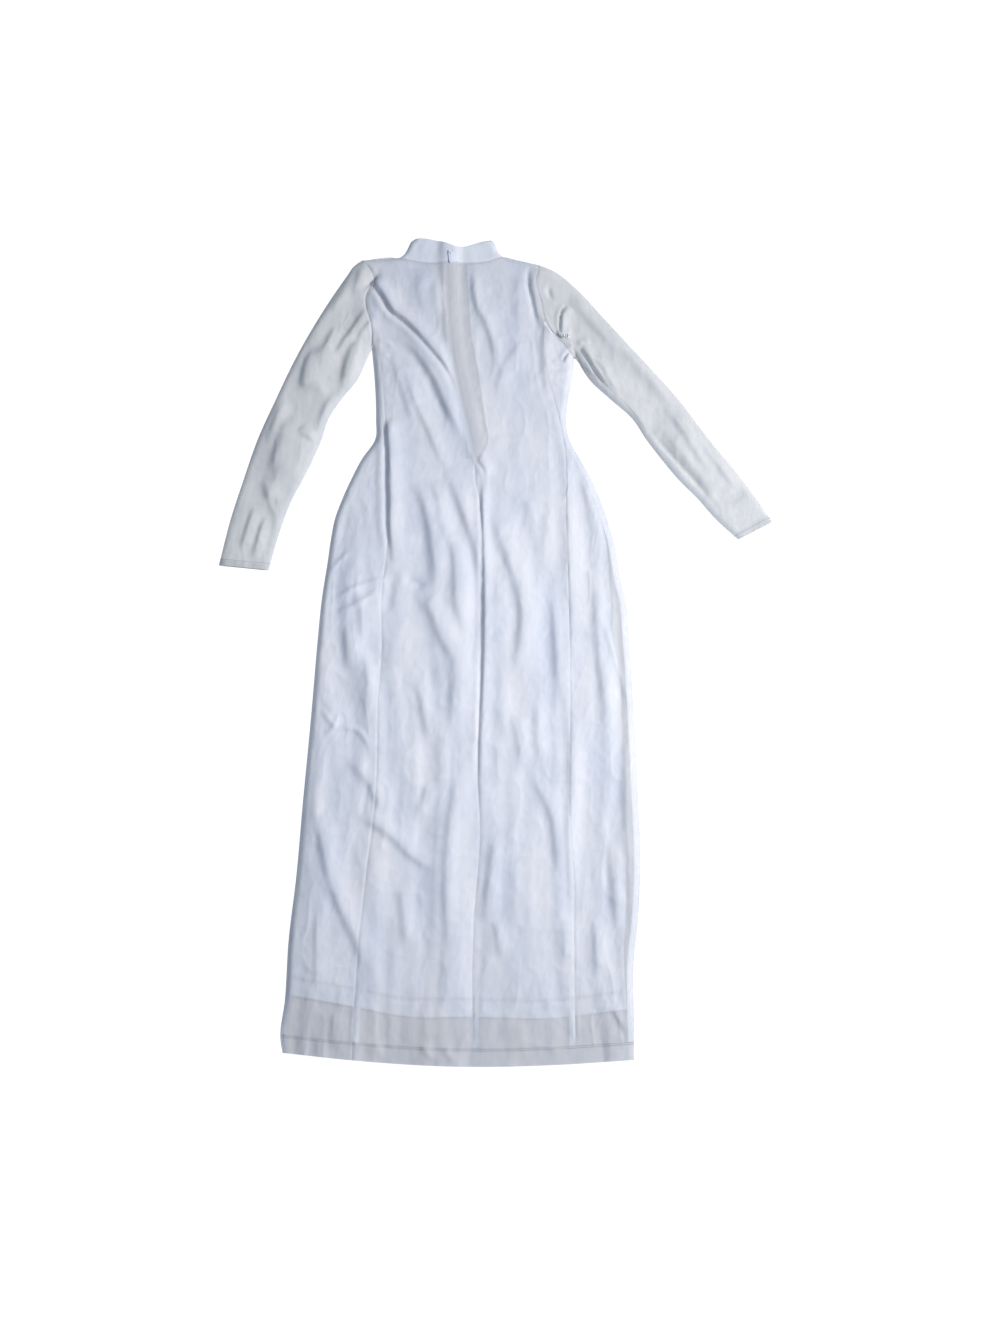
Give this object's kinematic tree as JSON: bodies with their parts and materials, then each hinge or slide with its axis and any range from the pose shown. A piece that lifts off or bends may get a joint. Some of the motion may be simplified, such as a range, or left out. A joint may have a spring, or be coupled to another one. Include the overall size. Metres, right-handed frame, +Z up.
{
  "type": "long-sleeved gown",
  "caption": "Full-length fitted gown laid flat, back up: high collar, long sheer sleeves, opaque lining under a stretch-mesh outer, princess seams and a concealed back zip.",
  "frame": {"origin": "under the middle of the whole gown's box, on the surface that the gown lies on", "axes": "+X to the right of the laid gown as seen from its hem, +Y from hem to collar, +Z up through the back of the gown"},
  "size_m": [0.9686, 1.469, 0.0168],
  "materials": {
    "outer_mesh": "matte fine stretch mesh",
    "sleeve_mesh": "sheer fine stretch mesh, unlined",
    "lining": "smooth knit with a low sheen",
    "seam_allowance": "overlocked mesh, several layers",
    "zip_tape": "fine knitted tape",
    "zip_coil": "nylon coil",
    "zip_metal": "satin enamel on die-cast metal"
  },
  "bodies": {
    "gown_body": {"collar_back_left": "outer_mesh", "collar_back_right": "outer_mesh", "collar_fold_left": "seam_allowance", "collar_fold_right": "seam_allowance", "collar_front": "outer_mesh", "lining_back_left": "lining", "lining_back_right": "lining", "lining_front": "lining", "outer_back_centre_left": "outer_mesh", "outer_back_centre_right": "outer_mesh", "outer_back_side_left": "outer_mesh", "outer_back_side_right": "outer_mesh", "outer_front_centre": "outer_mesh", "outer_front_side_left": "outer_mesh", "outer_front_side_right": "outer_mesh", "shoulder_seam_left": "seam_allowance", "shoulder_seam_right": "seam_allowance", "side_seam_left": "seam_allowance", "side_seam_right": "seam_allowance", "zip_bottom_stop": "zip_metal", "zip_coil_left": "zip_coil", "zip_coil_right": "zip_coil", "zip_tape_left": "zip_tape", "zip_tape_right": "zip_tape", "zip_top_stop_left": "zip_metal", "zip_top_stop_right": "zip_metal"},
    "sleeve_left": {"sleeve_left_outer_fold": "sleeve_mesh", "sleeve_left_under_face": "sleeve_mesh", "sleeve_left_underarm_seam": "seam_allowance", "sleeve_left_upper_face": "sleeve_mesh"},
    "sleeve_right": {"sleeve_right_outer_fold": "sleeve_mesh", "sleeve_right_under_face": "sleeve_mesh", "sleeve_right_underarm_seam": "seam_allowance", "sleeve_right_upper_face": "sleeve_mesh"},
    "zip_slider": {"zip_slider": "zip_metal"},
    "zip_pull": {"zip_pull": "zip_metal"}
  },
  "joints": [
    {"name": "sleeve_left_fold", "type": "hinge", "parent": "gown_body", "child": "sleeve_left", "pos_m": [-0.22934, 0.6045, 0.022], "axis": [0.1867, 0.9824, 0], "range_deg": [0, 180]},
    {"name": "sleeve_right_fold", "type": "hinge", "parent": "gown_body", "child": "sleeve_right", "pos_m": [0.10466, 0.5995, 0.022], "axis": [0.3939, -0.9191, 0], "range_deg": [0, 180]},
    {"name": "zip_slide", "type": "slide", "parent": "gown_body", "child": "zip_slider", "axis": [0.1184, -0.993, 0], "range_m": [0, 0.39]},
    {"name": "zip_pull_swing", "type": "hinge", "parent": "zip_slider", "child": "zip_pull", "pos_m": [-0.0853, 0.70276, 0.01525], "axis": [-0.993, -0.1184, 0], "range_deg": [0, 170]}
  ]
}
